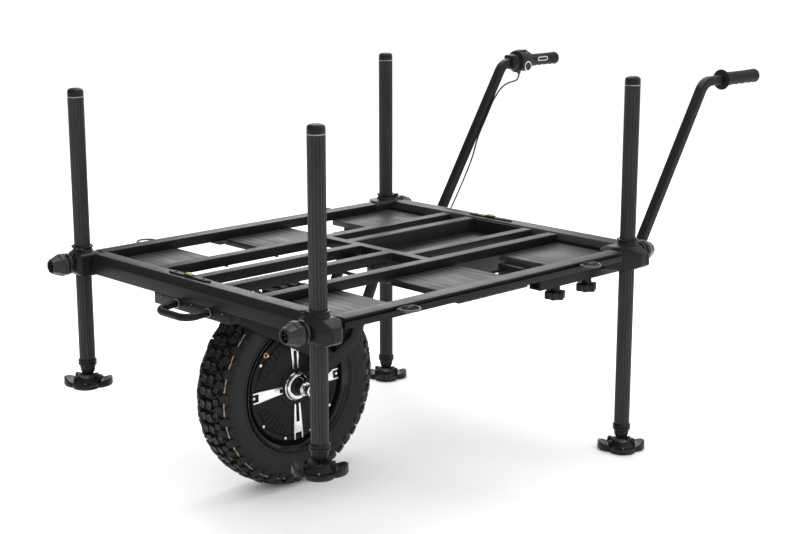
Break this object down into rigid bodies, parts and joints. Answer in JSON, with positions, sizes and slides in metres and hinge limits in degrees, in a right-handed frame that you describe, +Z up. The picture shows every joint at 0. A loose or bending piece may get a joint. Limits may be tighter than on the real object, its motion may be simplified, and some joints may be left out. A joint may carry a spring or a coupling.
{
  "type": "motorised platform barrow",
  "caption": "Welded aluminium platform on telescopic corner legs with swivel feet, a hub-motor wheel in a fork under the front and two pull-out push handles.",
  "frame": {"origin": "middle of the crossbar's top face, on the deck plane", "axes": "+X to the platform's right, +Y rearwards to the push handles, +Z up"},
  "size_m": [0.9419, 1.6003, 0.88],
  "materials": {
    "black_plastic": "moulded, fine grain",
    "button": "gloss black",
    "cable_jacket": "smooth jacket",
    "clamp": "satin dark grey powder coat",
    "fluted_leg": "dark grey anodised, satin",
    "frame_black": "satin black powder coat",
    "grip_rubber": "matt ribbed",
    "knob_plastic": "moulded, satin",
    "motor": "semi-gloss black",
    "plate": "dark brushed",
    "polished": "polished",
    "rail": "satin black",
    "steel": "zinc plated",
    "tyre": "matt with raised lugs",
    "vial": "clear yellow-green"
  },
  "bodies": {
    "deck": {"front_rail": "rail", "rear_rail": "rail", "left_rail": "rail", "right_rail": "rail", "inner_bars": "rail", "left_plates": "plate", "right_plates": "plate", "battery_tray": "frame_black", "battery_pack": "black_plastic", "controller_box": "black_plastic", "level_brackets": "rail", "level_vials": "vial", "clamp_front_left": "clamp", "clamp_front_right": "clamp", "clamp_rear_left": "clamp", "clamp_rear_right": "clamp", "axle": "steel", "axle_nuts": "steel", "fork_plates": "frame_black", "front_channel": "frame_black", "lift_loop": "frame_black", "left_receiver": "frame_black", "right_receiver": "frame_black", "motor_cable": "cable_jacket", "cable_plugs": "black_plastic"},
    "wheel": {"tyre": "tyre", "rim": "motor", "hub_motor": "motor", "hub_spokes": "polished"},
    "leg_front_left_body": {"leg_front_left": "fluted_leg", "leg_ends_front_left": "black_plastic"},
    "leg_front_right_body": {"leg_front_right": "fluted_leg", "leg_ends_front_right": "black_plastic"},
    "leg_rear_left_body": {"leg_rear_left": "fluted_leg", "leg_ends_rear_left": "black_plastic"},
    "leg_rear_right_body": {"leg_rear_right": "fluted_leg", "leg_ends_rear_right": "black_plastic"},
    "foot_front_left_body": {"foot_front_left": "black_plastic"},
    "foot_front_right_body": {"foot_front_right": "black_plastic"},
    "foot_rear_left_body": {"foot_rear_left": "black_plastic"},
    "foot_rear_right_body": {"foot_rear_right": "black_plastic"},
    "clamp_knob_front_left_body": {"clamp_knob_front_left": "knob_plastic"},
    "clamp_knob_front_right_body": {"clamp_knob_front_right": "knob_plastic"},
    "clamp_knob_rear_left_body": {"clamp_knob_rear_left": "knob_plastic"},
    "clamp_knob_rear_right_body": {"clamp_knob_rear_right": "knob_plastic"},
    "left_handle_body": {"left_handle": "frame_black", "left_grip": "grip_rubber", "throttle_body": "black_plastic", "throttle_cable": "cable_jacket"},
    "right_handle_body": {"right_handle": "frame_black", "right_grip": "grip_rubber"},
    "throttle_lever_body": {"throttle_lever": "black_plastic"},
    "throttle_button_body": {"throttle_button": "button"},
    "receiver_knob_left_front_body": {"receiver_knob_left_front": "black_plastic"},
    "receiver_knob_left_rear_body": {"receiver_knob_left_rear": "black_plastic"},
    "receiver_knob_right_front_body": {"receiver_knob_right_front": "black_plastic"},
    "receiver_knob_right_rear_body": {"receiver_knob_right_rear": "black_plastic"},
    "d_ring_left_front_body": {"d_ring_left_front": "steel"},
    "d_ring_left_rear_body": {"d_ring_left_rear": "steel"},
    "d_ring_right_front_body": {"d_ring_right_front": "steel"},
    "d_ring_right_rear_body": {"d_ring_right_rear": "steel"}
  },
  "joints": [
    {"name": "wheel_spin", "type": "hinge", "parent": "deck", "child": "wheel", "pos_m": [0, -0.27, -0.266], "axis": [1, 0, 0], "continuous": true},
    {"name": "leg_front_left_slide", "type": "slide", "parent": "deck", "child": "leg_front_left_body", "axis": [0, 0, 1], "range_m": [-0.333, 0.186]},
    {"name": "leg_front_right_slide", "type": "slide", "parent": "deck", "child": "leg_front_right_body", "axis": [0, 0, 1], "range_m": [-0.333, 0.186]},
    {"name": "leg_rear_left_slide", "type": "slide", "parent": "deck", "child": "leg_rear_left_body", "axis": [0, 0, 1], "range_m": [-0.351, 0.366]},
    {"name": "leg_rear_right_slide", "type": "slide", "parent": "deck", "child": "leg_rear_right_body", "axis": [0, 0, 1], "range_m": [-0.351, 0.366]},
    {"name": "foot_front_left_tilt", "type": "hinge", "parent": "leg_front_left_body", "child": "foot_front_left_body", "pos_m": [-0.42, -0.512, -0.287], "axis": [1, 0, 0], "range_deg": [-15, 15]},
    {"name": "foot_front_right_tilt", "type": "hinge", "parent": "leg_front_right_body", "child": "foot_front_right_body", "pos_m": [0.388, -0.512, -0.287], "axis": [1, 0, 0], "range_deg": [-15, 15]},
    {"name": "foot_rear_left_tilt", "type": "hinge", "parent": "leg_rear_left_body", "child": "foot_rear_left_body", "pos_m": [-0.42, 0.431, -0.467], "axis": [1, 0, 0], "range_deg": [-15, 15]},
    {"name": "foot_rear_right_tilt", "type": "hinge", "parent": "leg_rear_right_body", "child": "foot_rear_right_body", "pos_m": [0.388, 0.431, -0.467], "axis": [1, 0, 0], "range_deg": [-15, 15]},
    {"name": "clamp_knob_front_left_turn", "type": "hinge", "parent": "deck", "child": "clamp_knob_front_left_body", "pos_m": [-0.42, -0.562, -0.02], "axis": [0, -1, 0], "range_deg": [0, 270]},
    {"name": "clamp_knob_front_right_turn", "type": "hinge", "parent": "deck", "child": "clamp_knob_front_right_body", "pos_m": [0.388, -0.562, -0.02], "axis": [0, -1, 0], "range_deg": [0, 270]},
    {"name": "clamp_knob_rear_left_turn", "type": "hinge", "parent": "deck", "child": "clamp_knob_rear_left_body", "pos_m": [-0.42, 0.481, -0.02], "axis": [0, 1, 0], "range_deg": [0, 270]},
    {"name": "clamp_knob_rear_right_turn", "type": "hinge", "parent": "deck", "child": "clamp_knob_rear_right_body", "pos_m": [0.388, 0.481, -0.02], "axis": [0, 1, 0], "range_deg": [0, 270]},
    {"name": "left_handle_slide", "type": "slide", "parent": "deck", "child": "left_handle_body", "axis": [0, 1, 0], "range_m": [0, 0.12]},
    {"name": "right_handle_slide", "type": "slide", "parent": "deck", "child": "right_handle_body", "axis": [0, 1, 0], "range_m": [0, 0.12]},
    {"name": "throttle_lever_turn", "type": "hinge", "parent": "left_handle_body", "child": "throttle_lever_body", "pos_m": [-0.33, 0.888, 0.345], "axis": [0, 1, 0], "range_deg": [0, 50], "stiffness_Nm_per_rad": 0.25, "springref_deg": -11.46},
    {"name": "throttle_button_press", "type": "slide", "parent": "left_handle_body", "child": "throttle_button_body", "axis": [-1, 0, 0], "range_m": [0, 0.003], "stiffness_N_per_m": 500, "springref_m": -0.002},
    {"name": "receiver_knob_left_front_turn", "type": "hinge", "parent": "deck", "child": "receiver_knob_left_front_body", "pos_m": [-0.33, 0.246, -0.09], "axis": [0, 0, 1], "range_deg": [0, 270]},
    {"name": "receiver_knob_left_rear_turn", "type": "hinge", "parent": "deck", "child": "receiver_knob_left_rear_body", "pos_m": [-0.33, 0.357, -0.09], "axis": [0, 0, 1], "range_deg": [0, 270]},
    {"name": "receiver_knob_right_front_turn", "type": "hinge", "parent": "deck", "child": "receiver_knob_right_front_body", "pos_m": [0.33, 0.246, -0.09], "axis": [0, 0, 1], "range_deg": [0, 270]},
    {"name": "receiver_knob_right_rear_turn", "type": "hinge", "parent": "deck", "child": "receiver_knob_right_rear_body", "pos_m": [0.33, 0.357, -0.09], "axis": [0, 0, 1], "range_deg": [0, 270]},
    {"name": "d_ring_left_front_swing", "type": "hinge", "parent": "deck", "child": "d_ring_left_front_body", "pos_m": [-0.4275, -0.323, -0.0055], "axis": [0, -1, 0], "range_deg": [-80, 80]},
    {"name": "d_ring_left_rear_swing", "type": "hinge", "parent": "deck", "child": "d_ring_left_rear_body", "pos_m": [-0.4275, 0.232, -0.0055], "axis": [0, -1, 0], "range_deg": [-80, 80]},
    {"name": "d_ring_right_front_swing", "type": "hinge", "parent": "deck", "child": "d_ring_right_front_body", "pos_m": [0.4275, -0.323, -0.0055], "axis": [0, 1, 0], "range_deg": [-80, 80]},
    {"name": "d_ring_right_rear_swing", "type": "hinge", "parent": "deck", "child": "d_ring_right_rear_body", "pos_m": [0.4275, 0.232, -0.0055], "axis": [0, 1, 0], "range_deg": [-80, 80]}
  ]
}
